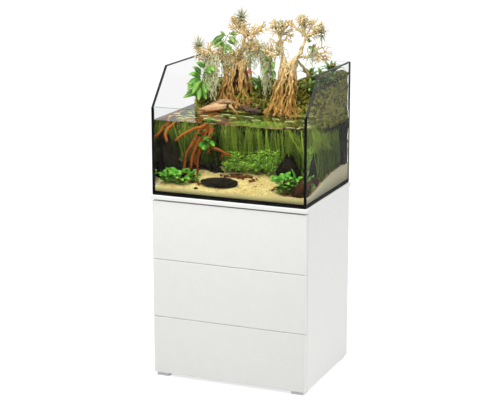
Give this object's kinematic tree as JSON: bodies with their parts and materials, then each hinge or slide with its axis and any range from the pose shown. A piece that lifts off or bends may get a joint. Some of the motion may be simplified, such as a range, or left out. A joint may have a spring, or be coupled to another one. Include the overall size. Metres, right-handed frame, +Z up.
{
  "type": "aquarium with cabinet",
  "caption": "Open glass tank with sloping side panes and a planted river bank, on a white cabinet with handleless push-to-open drawers.",
  "frame": {"origin": "on the floor, under the middle of the cabinet", "axes": "+X to the right seen from the front, +Y from the drawer fronts to the back, +Z up"},
  "size_m": [0.612, 0.478, 1.3721],
  "materials": {
    "white_board": "white matt foil on board, eased edges",
    "box_board": "white melamine on board",
    "glide_plastic": "moulded, fine grain",
    "zinc": "bright zinc plating",
    "runner_steel": "zinc plated sheet",
    "latch_plastic": "moulded",
    "plunger_plastic": "moulded, smooth",
    "mat_foam": "closed cell foam",
    "glass": "clear float glass, ground edges",
    "silicone": "black silicone, satin",
    "black_trim": "satin black profile",
    "sand": "fine yellow sand",
    "dark_stone": "rough dark stone with algae",
    "moss": "root and soil grown over with olive moss",
    "driftwood": "weathered pale root wood",
    "wet_root": "wet red-brown root",
    "grass_leaf": "soft yellow-green blades",
    "bright_leaf": "soft bright green leaves",
    "broad_leaf": "waxy green leaves",
    "strap_leaf": "stiff arching leaves with a red tinge",
    "silver_leaf": "silver-grey scaled leaves",
    "grey_moss": "thin grey-green strands"
  },
  "bodies": {
    "cabinet_and_tank": {"cabinet_top": "white_board", "side_panel_left": "white_board", "side_panel_right": "white_board", "base_panel": "white_board", "back_panel": "white_board", "top_rail": "white_board", "divider_rails": "white_board", "foot_pads": "glide_plastic", "foot_screws": "zinc", "cam_locks": "zinc", "cam_bolts": "zinc", "runner_outers": "runner_steel", "side_panel_screws": "zinc", "latch_housings": "latch_plastic", "tank_mat": "mat_foam", "tank_bottom_pane": "glass", "tank_front_pane": "glass", "tank_back_pane": "glass", "tank_side_panes": "glass", "tank_silicone": "silicone", "edge_trims": "black_trim", "sand_bed": "sand", "rear_stones": "dark_stone", "moss_bank": "moss", "driftwood_left": "driftwood", "driftwood_right": "driftwood", "surface_log": "driftwood", "water_roots": "wet_root", "ground_stones": "dark_stone", "grass": "grass_leaf", "stem_plants": "bright_leaf", "broad_leaf_plants": "broad_leaf", "climber": "bright_leaf", "bromeliads": "strap_leaf", "air_plants": "silver_leaf", "hanging_moss": "grey_moss"},
    "drawer_bottom": {"drawer_bottom_front": "white_board", "drawer_bottom_sides": "box_board", "drawer_bottom_back": "box_board", "drawer_bottom_base": "box_board", "drawer_bottom_runners": "runner_steel", "drawer_bottom_fittings": "zinc"},
    "middle_members_bottom": {"drawer_bottom_slides": "runner_steel"},
    "plunger_bottom": {"drawer_bottom_latch_plunger": "plunger_plastic"},
    "drawer_middle": {"drawer_middle_front": "white_board", "drawer_middle_sides": "box_board", "drawer_middle_back": "box_board", "drawer_middle_base": "box_board", "drawer_middle_runners": "runner_steel", "drawer_middle_fittings": "zinc"},
    "middle_members_middle": {"drawer_middle_slides": "runner_steel"},
    "plunger_middle": {"drawer_middle_latch_plunger": "plunger_plastic"},
    "drawer_top": {"drawer_top_front": "white_board", "drawer_top_sides": "box_board", "drawer_top_back": "box_board", "drawer_top_base": "box_board", "drawer_top_runners": "runner_steel", "drawer_top_fittings": "zinc"},
    "middle_members_top": {"drawer_top_slides": "runner_steel"},
    "plunger_top": {"drawer_top_latch_plunger": "plunger_plastic"}
  },
  "joints": [
    {"name": "drawer_bottom_slide", "type": "slide", "parent": "cabinet_and_tank", "child": "drawer_bottom", "axis": [0, -1, 0], "range_m": [0, 0.38]},
    {"name": "middle_members_bottom_slide", "type": "slide", "parent": "cabinet_and_tank", "child": "middle_members_bottom", "axis": [0, -1, 0], "range_m": [0, 0.19]},
    {"name": "plunger_bottom_press", "type": "slide", "parent": "cabinet_and_tank", "child": "plunger_bottom", "axis": [0, 1, 0], "range_m": [0, 0.003], "stiffness_N_per_m": 300, "springref_m": -0.004},
    {"name": "drawer_middle_slide", "type": "slide", "parent": "cabinet_and_tank", "child": "drawer_middle", "axis": [0, -1, 0], "range_m": [0, 0.38]},
    {"name": "middle_members_middle_slide", "type": "slide", "parent": "cabinet_and_tank", "child": "middle_members_middle", "axis": [0, -1, 0], "range_m": [0, 0.19]},
    {"name": "plunger_middle_press", "type": "slide", "parent": "cabinet_and_tank", "child": "plunger_middle", "axis": [0, 1, 0], "range_m": [0, 0.003], "stiffness_N_per_m": 300, "springref_m": -0.004},
    {"name": "drawer_top_slide", "type": "slide", "parent": "cabinet_and_tank", "child": "drawer_top", "axis": [0, -1, 0], "range_m": [0, 0.38]},
    {"name": "middle_members_top_slide", "type": "slide", "parent": "cabinet_and_tank", "child": "middle_members_top", "axis": [0, -1, 0], "range_m": [0, 0.19]},
    {"name": "plunger_top_press", "type": "slide", "parent": "cabinet_and_tank", "child": "plunger_top", "axis": [0, 1, 0], "range_m": [0, 0.003], "stiffness_N_per_m": 300, "springref_m": -0.004}
  ],
  "couplings": [
    {"joint": "middle_members_bottom_slide", "follows": "drawer_bottom_slide", "ratio": 0.5},
    {"joint": "middle_members_middle_slide", "follows": "drawer_middle_slide", "ratio": 0.5},
    {"joint": "middle_members_top_slide", "follows": "drawer_top_slide", "ratio": 0.5}
  ]
}
